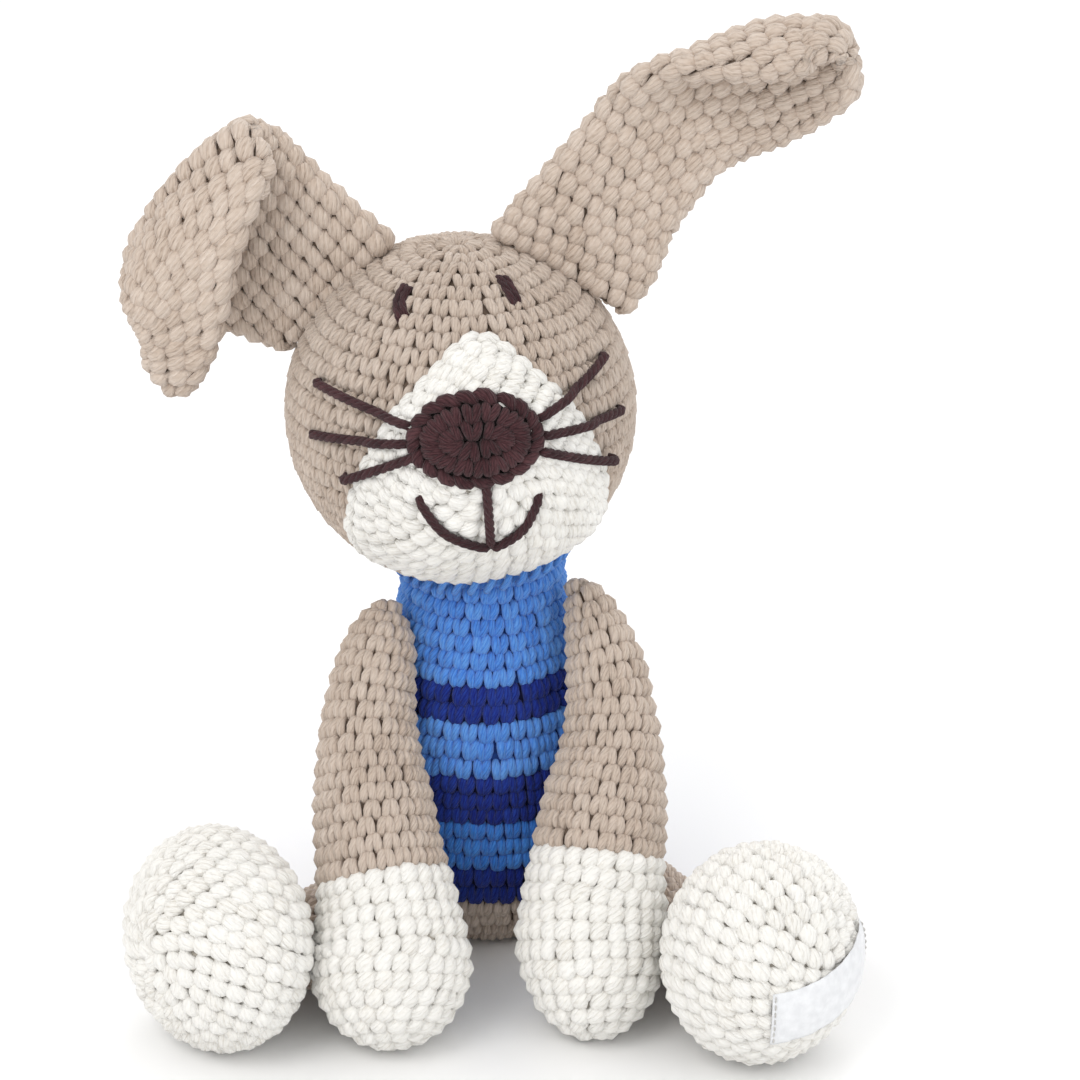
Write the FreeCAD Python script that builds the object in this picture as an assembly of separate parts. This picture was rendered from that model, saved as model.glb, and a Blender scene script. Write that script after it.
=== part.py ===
import FreeCAD, Part
import math
import os

# Crocheted, stuffed rabbit toy, sitting, facing -Y.  Millimetres, +Z up.
# Left and right are the rabbit's own: its left side is +X.
# The model is laid out about the torso's axis with the table top at z = 0, and
# every piece is shifted at the end so that the origin is the bottom centre of
# the whole toy's bounding box.

V = FreeCAD.Vector

# ---------------------------------------------------------------- dimensions
FABRIC = 3.0            # thickness of one crocheted layer
STUFF_GAP = 0.05        # stuffing stands this far inside the fabric
MOVE_GAP = 0.35         # air between pieces that move past each other

HEAD_R = 49.0
HEAD_C = V(-6.0, -2.0, 161.0)
FACE_AZ = 9.5           # the face looks this far to the rabbit's left
NECK_DROP = 44.1        # head centre to the plane of the neck seam
NECK_SEAM_R = 25.2
SEAM_YARN_R = 1.4

MUZZLE_T = 3.0
NOSE_AZ, NOSE_EL = 6.0, 12.0
NOSE_W, NOSE_H, NOSE_T = 37.0, 26.6, 3.2
EYE_YARN_R = 1.7
FACE_YARN_R = 1.0
YARN_GAP = 0.1          # embroidery lies this far over the fabric

EAR_T = 7.0             # two crocheted layers, pressed flat
EAR_ROOT_T = 4.0        # the mouth of the ear is sewn flat at the head
EAR_ROOT_GAP = 1.3
EAR_STEPS = 3           # sections between two rows of the ear tables
ROLL_FROM = 0.45        # the roll starts this far across the ear
ROLL_SPAN = 0.43        # and takes up this much of its width

LEG_R = 12.8
LEG_RUN = [(0.0, 0.0), (0.31, 0.6), (0.62, 4.0), (0.81, 7.6)]   # share of the way, height
KNOT_R = 3.5            # anchor knot of the thread that holds each leg
TAIL_R = 9.5
LABEL_T = 0.5

# Outer profile of the torso, (radius, height).
TORSO_PROFILE = [
    (22.0, 0.0), (28.4, 3.2), (32.8, 10.0), (35.6, 21.0), (36.5, 36.0),
    (35.7, 50.0), (33.2, 65.0), (29.7, 80.0), (26.4, 92.0), (23.8, 102.0),
    (22.6, 112.0), (22.4, 128.0),
]
# Stripes of the torso from the base up: name and the height where it starts.
TORSO_BANDS = [
    ("torso_base", -1.0), ("torso_stripe_navy_low", 18.0),
    ("torso_stripe_blue", 30.0), ("torso_stripe_navy_mid", 45.0),
    ("torso_stripe_sky", 59.0), ("torso_stripe_navy_high", 75.0),
    ("torso_collar", 85.5),
]
TORSO_TOP = 140.0

# Arms: shoulder pivot, hand centre, and (fraction of the way, x, radius) down
# the arm.  The cap is the hand's length past its centre.
ARMS = {
    "right": {
        "pivot": V(-27.5, -19.0, 98.5), "hand": V(-25.4, -75.0, 23.5), "cap": 24.0,
        "spine": [(-0.06, -27.8, 4.0), (-0.02, -28.6, 7.2), (0.06, -29.8, 9.8),
                  (0.21, -31.9, 11.9), (0.365, -32.3, 13.7), (0.515, -30.9, 15.9),
                  (0.66, -29.3, 17.0), (0.81, -27.0, 18.6), (0.96, -25.4, 21.2)],
        "cuff": 0.75,
    },
    "left": {
        "pivot": V(27.4, -17.0, 106.4), "hand": V(31.0, -67.0, 27.3), "cap": 29.0,
        "spine": [(-0.05, 27.2, 3.0), (-0.015, 29.2, 5.2), (0.05, 31.6, 7.4),
                  (0.167, 34.7, 10.2), (0.315, 36.6, 11.8), (0.465, 36.6, 14.1),
                  (0.612, 34.8, 16.9), (0.763, 33.0, 17.8), (0.913, 31.7, 19.8)],
        "cuff": 0.76,
    },
}

# Legs: hip pivot, foot centre, foot radius across and half its length, and the
# way the sole faces (azimuth outward from the front, and upward tilt).
LEGS = {
    "right": {"side": -1, "hip": V(-35.4, -31.8, 13.2), "foot": V(-73.5, -75.0, 30.6),
              "across": 30.6, "half_length": 22.0, "azimuth": 50.0, "tilt": 11.0},
    "left": {"side": 1, "hip": V(43.0, -20.4, 13.2), "foot": V(78.0, -82.0, 30.2),
             "across": 29.5, "half_length": 25.0, "azimuth": 50.0, "tilt": 10.0},
}

# Ears, one row per cross-section from the head out: the middle of the lower
# edge, the direction across the ear, the ear's width and thickness there, and
# how far the upper edge rolls towards the face (degrees).
EARS = {
    "right": {
        "base": [
            (V(-54.8, 1.0, 177.6), V(0.70, 0, 0.714), 44.5, EAR_ROOT_T, 0),
            (V(-64.8, 2.0, 181.4), V(0.60, 0, 0.80), 48.7, EAR_T, 0),
            (V(-76.7, 3.0, 185.0), V(0.548, 0, 0.836), 55.0, EAR_T, 0),
            (V(-88.0, 2.0, 191.2), V(0.556, 0, 0.831), 59.0, EAR_T, 0),
            (V(-97.6, -2.5, 201.2), V(0.617, 0, 0.787), 59.5, EAR_T, 0),
        ],
        "tip": [
            (V(-99.2, -10.0, 200.6), V(0.739, 0, 0.674), 59.0, EAR_T, 0),
            (V(-97.8, -14.6, 197.6), V(0.764, 0, 0.645), 50.0, EAR_T, 0),
            (V(-96.2, -16.2, 194.0), V(0.793, 0, 0.609), 41.0, EAR_T, 0),
            (V(-94.3, -16.4, 189.8), V(0.838, 0, 0.545), 32.0, EAR_T, 0),
            (V(-92.7, -15.8, 184.6), V(0.944, 0, 0.329), 23.0, EAR_T, 0),
            (V(-92.1, -15.0, 178.0), V(0.992, 0, 0.125), 17.0, EAR_T, 0),
            (V(-89.2, -14.2, 171.8), V(0.998, 0, 0.056), 10.7, 5.0, 0),
        ],
    },
    "left": {
        "base": [
            (V(40.9, 0.0, 188.5), V(-0.847, 0, 0.531), 44.9, EAR_ROOT_T, 0),
            (V(48.1, 1.0, 199.7), V(-0.846, 0, 0.533), 43.2, EAR_T, 0),
            (V(52.1, 1.5, 210.6), V(-0.773, 0, 0.634), 38.6, EAR_T, 0),
            (V(58.0, 1.5, 220.5), V(-0.657, 0, 0.754), 37.8, EAR_T, 0),
        ],
        "tip": [
            (V(65.7, 1.5, 230.3), V(-0.613, 0, 0.79), 40.0, EAR_T, 45),
            (V(73.4, 2.5, 234.2), V(-0.511, 0, 0.86), 45.5, EAR_T, 90),
            (V(83.2, 3.0, 238.0), V(-0.403, 0, 0.915), 51.0, EAR_T, 135),
            (V(91.0, 2.5, 241.7), V(-0.300, 0, 0.954), 49.0, EAR_T, 150),
            (V(97.0, 1.3, 246.2), V(-0.250, 0, 0.968), 41.0, EAR_T, 150),
            (V(101.0, -0.8, 251.8), V(-0.220, 0, 0.975), 29.0, 6.0, 140),
            (V(103.2, -3.0, 257.2), V(-0.205, 0, 0.979), 14.0, 5.0, 110),
        ],
    },
}

# Embroidered strands of the face: (azimuth, elevation) on the head, outwards
# from the nose.  Azimuth is positive towards the rabbit's left.  A whisker
# comes down off the muzzle between two fractions of its length.
WHISKERS = {
    "whisker_right_upper": ((0.15, 0.32), [(-15.2, 15.8), (-36.0, 19.5), (-57.3, 20.9)]),
    "whisker_right_middle": ((0.26, 0.44), [(-15.4, 10.2), (-34.5, 7.8), (-54.6, 4.5)]),
    "whisker_right_lower": ((0.79, 1.0), [(-13.4, 3.2), (-26.0, -3.0), (-38.6, -9.5)]),
    "whisker_left_upper": ((0.27, 0.44), [(27.4, 16.8), (46.5, 23.0), (65.9, 27.7)]),
    "whisker_left_middle": ((0.42, 0.60), [(27.6, 11.1), (46.8, 10.4), (66.6, 8.6)]),
    "whisker_left_lower": ((0.83, 1.0), [(26.4, 3.4), (42.0, -2.5), (57.6, -8.0)]),
}
MOUTH = {
    "mouth_stem": [(8.6, -4.2), (9.8, -16.0), (11.1, -28.0)],
    "mouth_right": [(-11.4, -10.3), (-4.5, -23.0), (9.6, -30.0)],
    "mouth_left": [(26.8, -10.7), (22.0, -23.5), (12.6, -30.0)],
}
EYES = {
    "eye_right": [(-34.6, 62.1), (-33.0, 54.9), (-27.1, 49.0)],
    "eye_left": [(35.1, 66.4), (34.0, 59.9), (33.0, 53.2)],
}
# Rounded triangle of the muzzle, seen along the way the face looks: half of it.
MUZZLE_OUTLINE = [
    (0.0, 35.5), (17.0, 23.5), (26.5, 12.0), (34.0, -3.0),
    (35.5, -13.0), (29.0, -24.0), (16.0, -31.5), (0.0, -34.5),
]


# ------------------------------------------------------------------- helpers
def sphere(centre, radius):
    return Part.makeSphere(radius, centre)


def direction(azimuth, elevation):
    """Unit vector; azimuth from straight ahead towards the rabbit's left."""
    a, e = math.radians(azimuth), math.radians(elevation)
    return V(math.sin(a) * math.cos(e), -math.cos(a) * math.cos(e), math.sin(e))


def on_head(azimuth, elevation, radius):
    return HEAD_C + direction(azimuth, elevation) * radius


def smooth_closed(points):
    curve = Part.BSplineCurve()
    curve.interpolate(points, PeriodicFlag=True)
    return Part.Wire(curve.toShape())


def open_curve(points):
    curve = Part.BSplineCurve()
    curve.interpolate(points)
    return curve.toShape()


def skin(halves):
    """Solid over sections that are each two edges between the same two points."""
    faces = []
    for k in (0, 1):
        wires = [Part.Wire(pair[k]) for pair in halves]
        faces += Part.makeLoft(wires, False, True).Faces
    for pair in (halves[0], halves[-1]):
        faces.append(Part.Face(Part.Wire(list(pair))))
    shell = Part.makeShell(faces)
    shell.sewShape()
    solid = Part.makeSolid(shell)
    if solid.Volume < 0:
        solid.reverse()
    return solid


def ring(centre, along, across, radius):
    """The two half circles of a round section square to the direction along."""
    along = V(along).normalize()
    side = (across - along * across.dot(along)).normalize() * radius
    up = along.cross(side)
    start, end = centre + side, centre - side
    return (Part.Arc(start, centre + up, end).toShape(), Part.Arc(start, centre - up, end).toShape())


def refine(rows, parts):
    """Smooth values between rows of numbers: Catmull-Rom, parts per interval."""
    fine = []
    last = len(rows) - 1
    for i in range(last):
        p0, p1, p2, p3 = rows[max(i - 1, 0)], rows[i], rows[i + 1], rows[min(i + 2, last)]
        for k in range(parts):
            t = k / parts
            fine.append([
                0.5 * (2 * b + (c - a) * t + (2 * a - 5 * b + 4 * c - d) * t * t
                       + (3 * b - a - 3 * c + d) * t ** 3)
                for a, b, c, d in zip(p0, p1, p2, p3)])
    fine.append(list(rows[last]))
    return fine


def tube(points, radii, across):
    """Solid of round sections along a line of points."""
    halves = []
    for i, (point, radius) in enumerate(zip(points, radii)):
        before, after = points[max(i - 1, 0)], points[min(i + 1, len(points) - 1)]
        halves.append(ring(point, after - before, across, radius))
    return skin(halves)


def half_space(point, normal):
    return Part.makeCylinder(300.0, 600.0, point, normal)


def ellipsoid(centre, axis, along, across):
    matrix = FreeCAD.Matrix()
    matrix.scale(across, across, along)
    shape = Part.makeSphere(1.0).transformGeometry(matrix)
    turn = FreeCAD.Rotation(V(0, 0, 1), axis)
    shape.Placement = FreeCAD.Placement(centre, turn)
    return shape


def prism_on_head(outline, azimuth, elevation):
    """Bar through the head's front with this outline, seen along the bar."""
    axis = direction(azimuth, elevation)
    side = V(0, 0, 1).cross(axis).normalize() * -1
    up = side.cross(axis) * -1
    if up.z < 0:
        up = up * -1
    points = [HEAD_C + side * x + up * y for x, y in outline]
    return Part.Face(smooth_closed(points)).extrude(axis * 90.0)


def strand(stops, radius, base_radius, edge_radius=0.0, leave=None):
    """Strand of yarn laid over the head through (azimuth, elevation) stops."""
    curve = Part.BSplineCurve()
    curve.interpolate([on_head(a, e, base_radius) for a, e in stops])
    count = 14
    points, radii = [], []
    for i in range(count + 1):
        t = i / count
        at = curve.value(curve.FirstParameter + t * (curve.LastParameter - curve.FirstParameter))
        lift = base_radius
        if leave is not None:
            drop = min(max((t - leave[0]) / (leave[1] - leave[0]), 0.0), 1.0)
            lift = base_radius + (edge_radius - base_radius) * drop * drop * (3 - 2 * drop)
        points.append(HEAD_C + (at - HEAD_C).normalize() * lift)
        radii.append(radius * (0.6 if i in (0, count) else 1.0))
    return tube(points, radii, direction(FACE_AZ, 0))


# --------------------------------------------------------------------- torso
def torso_body(inset):
    """Solid of revolution, its whole profile moved inwards by inset."""
    count = len(TORSO_PROFILE)
    points = []
    for i, (radius, height) in enumerate(TORSO_PROFILE):
        r0, z0 = TORSO_PROFILE[max(i - 1, 0)]
        r1, z1 = TORSO_PROFILE[min(i + 1, count - 1)]
        length = math.hypot(r1 - r0, z1 - z0)
        normal_r, normal_z = (z1 - z0) / length, -(r1 - r0) / length
        if i == 0:
            normal_r, normal_z = 0.4, -1.0
        points.append(V(radius - inset * normal_r, 0, height - inset * normal_z))
    side = Part.BSplineCurve()
    side.interpolate(points)
    low, high = points[0].z, points[-1].z
    edges = [
        Part.LineSegment(V(0, 0, low), points[0]).toShape(), side.toShape(),
        Part.LineSegment(points[-1], V(0, 0, high)).toShape(),
        Part.LineSegment(V(0, 0, high), V(0, 0, low)).toShape(),
    ]
    return Part.Face(Part.Wire(edges)).revolve(V(0, 0, 0), V(0, 0, 1), 360)


def make_torso(parts):
    socket = sphere(HEAD_C, HEAD_R + MOVE_GAP)
    outside = torso_body(0.0).cut(socket)
    fabric = outside.cut(torso_body(FABRIC))
    for i, (name, low) in enumerate(TORSO_BANDS):
        high = TORSO_BANDS[i + 1][1] if i + 1 < len(TORSO_BANDS) else TORSO_TOP
        slab = Part.makeBox(200, 200, high - low, V(-100, -100, low))
        parts[name] = fabric.common(slab)
    parts["torso_stuffing"] = torso_body(FABRIC + STUFF_GAP).cut(socket)

    tail_at = V(0, 36.0 + TAIL_R - 2.5, 25.0)
    tail_wall = 2.5
    parts["tail_fabric"] = sphere(tail_at, TAIL_R).cut(sphere(tail_at, TAIL_R - tail_wall)).cut(outside)
    parts["tail_stuffing"] = sphere(tail_at, TAIL_R - tail_wall - STUFF_GAP).cut(outside)


# ------------------------------------------------------------- neck and head
def neck_plane():
    """Centre of the neck seam, on the torso's axis, and its direction."""
    drop = math.sqrt(NECK_DROP ** 2 - HEAD_C.x ** 2 - HEAD_C.y ** 2)
    centre = V(0, 0, HEAD_C.z - drop)
    return centre, (HEAD_C - centre).normalize()


def make_head(parts):
    neck_at, neck_axis = neck_plane()
    parts["neck_seam"] = Part.makeTorus(NECK_SEAM_R, SEAM_YARN_R, neck_at, neck_axis)

    ball = sphere(HEAD_C, HEAD_R)
    parts["head_fabric"] = ball.cut(sphere(HEAD_C, HEAD_R - FABRIC))
    parts["head_stuffing"] = sphere(HEAD_C, HEAD_R - FABRIC - STUFF_GAP)

    outline = MUZZLE_OUTLINE + [(-x, z) for x, z in reversed(MUZZLE_OUTLINE[1:-1])]
    muzzle_ball = sphere(HEAD_C, HEAD_R + MUZZLE_T)
    parts["muzzle"] = muzzle_ball.cut(ball).common(prism_on_head(outline, FACE_AZ, 0.0))

    oval = []
    for i in range(16):
        t = 2 * math.pi * i / 16
        oval.append((NOSE_W / 2 * math.cos(t), NOSE_H / 2 * math.sin(t)))
    nose_ball = sphere(HEAD_C, HEAD_R + MUZZLE_T + NOSE_T)
    parts["nose"] = nose_ball.cut(muzzle_ball).common(prism_on_head(oval, NOSE_AZ, NOSE_EL))

    for name, stops in EYES.items():
        parts[name] = strand(stops, EYE_YARN_R, HEAD_R + EYE_YARN_R + YARN_GAP)
    over_head = HEAD_R + FACE_YARN_R + YARN_GAP
    over_muzzle = over_head + MUZZLE_T
    for name, (leave, stops) in WHISKERS.items():
        parts[name] = strand(stops, FACE_YARN_R, over_muzzle, over_head, leave).cut(parts["nose"])
    stem = strand(MOUTH["mouth_stem"], FACE_YARN_R, over_muzzle).cut(parts["nose"])
    parts["mouth_stem"] = stem
    for name in ("mouth_right", "mouth_left"):
        parts[name] = strand(MOUTH[name], FACE_YARN_R, over_muzzle).cut(stem)


# ---------------------------------------------------------------------- ears
def sheet_section(low_edge, across, face, width, thick, roll):
    """Front and back of a flat pressed tube; its upper edge rolls to the face."""
    steps = 200
    middle, x, y = [], 0.0, 0.0
    for i in range(steps + 1):
        f = i / steps
        turn = math.radians(roll) * min(max((f - ROLL_FROM) / ROLL_SPAN, 0.0), 1.0)
        middle.append((x, y, turn))
        x += math.cos(turn) * width / steps
        y += math.sin(turn) * width / steps
    margin = min(thick, width / 3)
    stops = [0.12 * margin, 0.5 * margin]
    stops += [margin + (width - 2 * margin) * k / 6 for k in range(7)]
    stops += [width - 0.5 * margin, width - 0.12 * margin]
    front, back = [], []
    for s in stops:
        x, y, turn = middle[round(s / width * steps)]
        inward = min(s, width - s, margin / 2) / (margin / 2)
        half = thick / 2 * math.sqrt(1 - (1 - inward) ** 2)
        front.append((x - math.sin(turn) * half, y + math.cos(turn) * half))
        back.append((x + math.sin(turn) * half, y - math.cos(turn) * half))
    edges = []
    for outline in (front, back):
        outline = [middle[0][:2]] + outline + [middle[-1][:2]]
        edges.append(open_curve([low_edge + across * x + face * y for x, y in outline]))
    return tuple(edges)


def rise(width, roll):
    """How far a section reaches across the ear, with its upper edge rolled."""
    bend = math.radians(roll)
    if bend < 0.05:
        return width
    radius = ROLL_SPAN * width / bend
    top = ROLL_FROM * width + radius * math.sin(min(bend, math.pi / 2))
    return top + (1 - ROLL_FROM - ROLL_SPAN) * width * max(math.cos(bend), 0.0)


def ear_frames(rows):
    """Frames of the sections of one ear, from the head to the tip."""
    table = [[*low, *V(across).normalize(), width, thick, roll]
             for low, across, width, thick, roll in rows]
    table = refine(table, EAR_STEPS)
    middles = [V(*row[0:3]) + V(*row[3:6]) * (rise(row[6], row[8]) / 2) for row in table]
    frames = []
    for i, row in enumerate(table):
        run = middles[min(i + 1, len(table) - 1)] - middles[max(i - 1, 0)]
        across = V(*row[3:6]).normalize()
        run = (run - across * run.dot(across)).normalize()
        frames.append((V(*row[0:3]), across, run.cross(across), row[6], row[7], row[8], run))
    return frames


def make_ears(parts, hinges):
    for side, ear in EARS.items():
        frames = ear_frames(ear["base"] + ear["tip"])
        fold = (len(ear["base"]) - 1) * EAR_STEPS
        mirror = 1.0 if frames[0][2].y < 0 else -1.0
        halves = []
        for low, across, face, width, thick, roll, run in frames:
            halves.append(sheet_section(low, across, face * mirror, width, thick, roll))
        root_ball = sphere(HEAD_C, HEAD_R + EAR_ROOT_GAP)
        parts["ear_%s_base" % side] = skin(halves[:fold + 1]).cut(root_ball)

        low, across, face, width, thick, roll, run = frames[fold]
        shifted = sheet_section(low + run * MOVE_GAP, across, face * mirror, width, thick, roll)
        straight = frames[fold][6].dot(frames[fold + 1][6]) > 0.95
        first = [shifted] + halves[fold + 1:] if straight else halves[fold + 2:]
        parts["ear_%s_tip" % side] = skin(first)

        # The fold turns about the skin that closes up as the tip is folded.
        hinge_side = face * mirror * (thick / 2 if side == "left" else -thick / 2)
        hinges["ear_%s_fold" % side] = (low + across * (width / 2) + hinge_side, across * -1)
        root_low, root_across, root_width = frames[0][0], frames[0][1], frames[0][3]
        root_mid = root_low + root_across * (root_width / 2)
        root_top = HEAD_C + (root_mid - HEAD_C).normalize() * (HEAD_R + EAR_ROOT_GAP)
        hinges["ear_%s_root" % side] = (root_top, root_across)


# ---------------------------------------------------------------------- arms
def arm_body(arm, inset):
    pivot, hand = arm["pivot"], arm["hand"]
    run = (hand - pivot).normalize()
    points, radii = [], []
    for f, x, radius in refine(arm["spine"], 2):
        if radius - inset < 2.2 and inset > 0:
            continue
        at = pivot + (hand - pivot) * f
        points.append(V(x, at.y, at.z))
        radii.append(radius - inset)
    hand_r = arm["spine"][-1][2] + 0.6 - inset
    for f in (0.0, 0.35, 0.6, 0.8, 0.92, 0.985):
        points.append(hand + run * ((arm["cap"] - inset) * f))
        radii.append(hand_r * math.sqrt(1 - f * f))
    return tube(points, radii, V(1, 0, 0))


def make_arms(parts):
    for side, arm in ARMS.items():
        outside = arm_body(arm, 0.0)
        fabric = outside.cut(arm_body(arm, FABRIC))
        run = arm["hand"] - arm["pivot"]
        beyond = half_space(arm["pivot"] + run * arm["cuff"], run)
        parts["arm_%s_sleeve" % side] = fabric.cut(beyond)
        parts["arm_%s_hand" % side] = fabric.common(beyond)
        parts["arm_%s_stuffing" % side] = arm_body(arm, FABRIC + STUFF_GAP)


# ---------------------------------------------------------------------- legs
def leg_body(leg, inset):
    hip = leg["hip"]
    out = V(leg["foot"].x - hip.x, leg["foot"].y - hip.y, 0)
    distance = out.Length
    out.normalize()
    points, radii = [], []
    radius = LEG_R - inset
    for f in (0.97, 0.86, 0.64, 0.33):
        points.append(hip - out * (radius * f))
        radii.append(radius * math.sqrt(1 - f * f))
    for share, lift in refine(LEG_RUN, 3):
        points.append(hip + out * (share * distance) + V(0, 0, lift))
        radii.append(radius)
    return tube(points, radii, V(0, 0, 1))


def sole_axis(leg):
    return direction(leg["side"] * leg["azimuth"], leg["tilt"])


def foot_body(leg, grow):
    return ellipsoid(leg["foot"], sole_axis(leg), leg["half_length"] + grow, leg["across"] + grow)


def make_legs(parts):
    for side, leg in LEGS.items():
        foot = foot_body(leg, 0.0)
        knot = sphere(leg["hip"], KNOT_R)
        parts["leg_%s_fabric" % side] = leg_body(leg, 0.0).cut(leg_body(leg, FABRIC)).cut(foot)
        stuffing = leg_body(leg, FABRIC + STUFF_GAP).cut(foot)
        parts["leg_%s_stuffing" % side] = stuffing.cut(sphere(leg["hip"], KNOT_R + MOVE_GAP))
        parts["foot_%s_fabric" % side] = foot.cut(foot_body(leg, -FABRIC))
        parts["foot_%s_stuffing" % side] = foot_body(leg, -FABRIC - STUFF_GAP)
        parts["hip_%s_knot" % side] = knot


def make_label(parts):
    """Blank ribbon, sewn round the outer side of the left foot."""
    leg = LEGS["left"]
    skin = foot_body(leg, 0.05 + LABEL_T).cut(foot_body(leg, 0.05))
    tilt = V(0.02, -0.2, 0.98).normalize()
    slab = half_space(leg["foot"] - tilt * 6.5, tilt).cut(half_space(leg["foot"] + tilt * 10.0, tilt))
    corner = leg["foot"] - V(0, 0, 60)
    edges = [V(0, 0, 0), V(0, -70, 0), V(70, -70, 0), V(70, 10, 0), V(0, 0, 0)]
    wedge = Part.Face(Part.makePolygon([corner + e for e in edges])).extrude(V(0, 0, 120))
    parts["foot_label"] = skin.common(slab).common(wedge)


def build():
    """All pieces by node name, and the ear hinges, origin at the bottom centre."""
    parts, hinges = {}, {}
    make_torso(parts)
    make_head(parts)
    make_ears(parts, hinges)
    make_arms(parts)
    make_legs(parts)
    make_label(parts)
    box = FreeCAD.BoundBox()
    for shape in parts.values():
        box.add(shape.optimalBoundingBox(False))
    shift = V(-box.Center.x, -box.Center.y, -box.ZMin)
    for shape in parts.values():
        shape.translate(shift)
    return parts, hinges, shift


if __name__ == "__main__":
    os.makedirs("parts", exist_ok=True)
    made, pivots, moved = build()
    print("shift %.3f %.3f %.3f" % (moved.x, moved.y, moved.z))
    for node, shape in made.items():
        print("%-26s %-9s valid %s solids %d volume %9.1f" % (
            node, shape.ShapeType, shape.isValid(), len(shape.Solids), shape.Volume))
        if len(shape.Solids) == 1:
            shape = shape.Solids[0]
        shape.exportStep("parts/%s.step" % node)
    for name, (at, axis) in pivots.items():
        at = at + moved
        print("%-18s at %.2f %.2f %.2f axis %.3f %.3f %.3f" % (
            name, at.x, at.y, at.z, axis.x, axis.y, axis.z))
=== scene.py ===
import math

import bpy
import numpy as np
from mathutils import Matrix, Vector


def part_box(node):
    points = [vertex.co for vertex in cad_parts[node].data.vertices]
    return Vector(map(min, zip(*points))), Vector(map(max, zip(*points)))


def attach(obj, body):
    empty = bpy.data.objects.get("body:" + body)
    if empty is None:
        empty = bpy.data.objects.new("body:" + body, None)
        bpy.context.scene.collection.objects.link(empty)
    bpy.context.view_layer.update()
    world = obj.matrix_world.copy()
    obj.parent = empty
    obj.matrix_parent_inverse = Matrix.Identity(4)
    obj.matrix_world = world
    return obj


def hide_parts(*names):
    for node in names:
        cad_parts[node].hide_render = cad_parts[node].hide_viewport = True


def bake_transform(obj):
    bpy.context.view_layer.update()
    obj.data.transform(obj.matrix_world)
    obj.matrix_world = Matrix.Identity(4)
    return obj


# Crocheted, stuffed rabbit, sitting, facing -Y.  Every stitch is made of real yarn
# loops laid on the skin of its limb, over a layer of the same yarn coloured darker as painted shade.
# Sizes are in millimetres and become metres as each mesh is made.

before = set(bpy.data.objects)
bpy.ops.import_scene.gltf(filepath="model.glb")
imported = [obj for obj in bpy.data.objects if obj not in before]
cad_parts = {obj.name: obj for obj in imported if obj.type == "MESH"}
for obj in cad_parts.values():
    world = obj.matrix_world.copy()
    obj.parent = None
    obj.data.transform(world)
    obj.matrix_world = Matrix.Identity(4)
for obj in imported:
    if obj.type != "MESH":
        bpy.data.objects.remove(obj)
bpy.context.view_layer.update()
rng = np.random.default_rng(7)

# The tables below have the torso's axis at x = y = 0; SHIFT takes it to the frame's place.
low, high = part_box("torso_base")
SHIFT = np.array([(low[0] + high[0]) * 500.0, (low[1] + high[1]) * 500.0, 0.0])

# ---------------------------------------------------------------- dimensions
ROW = 5.0               # height of one round of crochet
PITCH = 5.0             # width of one stitch
ACROSS = 240            # columns of a surface grid
UNDER_DEPTH = 1.1       # how far the under-layer lies below the skin
FLOOR_GAP = 0.15        # the stitches end this far above the floor
CHIN_FROM, CHIN_SPAN = 24.0, 15.0   # below the head's middle the muzzle thins out to nothing

HEAD_R = 49.0
HEAD_C = np.array([-6.0, -2.0, 161.0])
FACE_AZ = 9.5           # the face looks a little to the rabbit's left
MUZZLE_T = 3.0
NOSE_AZ, NOSE_EL = 6.0, 12.0
NOSE_W, NOSE_H, NOSE_T = 37.0, 26.6, 3.2

EAR_T = 7.0
EAR_ROOT_T = 4.0
ROLL_FROM = 0.45        # the rolled edge: where it begins, as a share of the width
ROLL_SPAN = 0.43        # and how much of the width the bend takes

NECK_REACH = 44.1       # from the head's middle to the middle of the neck seam
SEAM_R = 25.6           # radius of the ring of whip stitches
SEAM_STITCHES = 34

LABEL_LOW, LABEL_W = -6.5, 16.5         # lower edge over the foot's middle, and width
LABEL_FROM, LABEL_TURN = 2.0, 96.0      # degrees round the foot
LABEL_STAND = 1.8                       # over the foot's skin, to clear the stitches
LABEL_T = 0.30

LEG_R = 12.8
# Share of the way from hip to foot, and the rise of the leg's middle there.
LEG_RUN = [(0.0, 0.0), (0.31, 0.6), (0.62, 4.0), (0.81, 7.6)]
TAIL_R = 9.5
TAIL_OUT, TAIL_UP = 43.0, 25.0

# (radius, height)
TORSO_PROFILE = [
    (22.0, 0.0), (28.4, 3.2), (32.8, 10.0), (35.6, 21.0), (36.5, 36.0),
    (35.7, 50.0), (33.2, 65.0), (29.7, 80.0), (26.4, 92.0), (23.8, 102.0),
    (22.6, 112.0), (22.4, 128.0),
]
# CAD node, lower and upper height, yarn
TORSO_BANDS = [
    ("torso_base", 0.0, 18.0, "yarn_beige"), ("torso_stripe_navy_low", 18.0, 30.0, "yarn_navy"),
    ("torso_stripe_blue", 30.0, 45.0, "yarn_blue"), ("torso_stripe_navy_mid", 45.0, 59.0, "yarn_navy"),
    ("torso_stripe_sky", 59.0, 75.0, "yarn_sky"), ("torso_stripe_navy_high", 75.0, 85.5, "yarn_navy"),
    ("torso_collar", 85.5, 124.0, "yarn_sky"),
]

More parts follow.
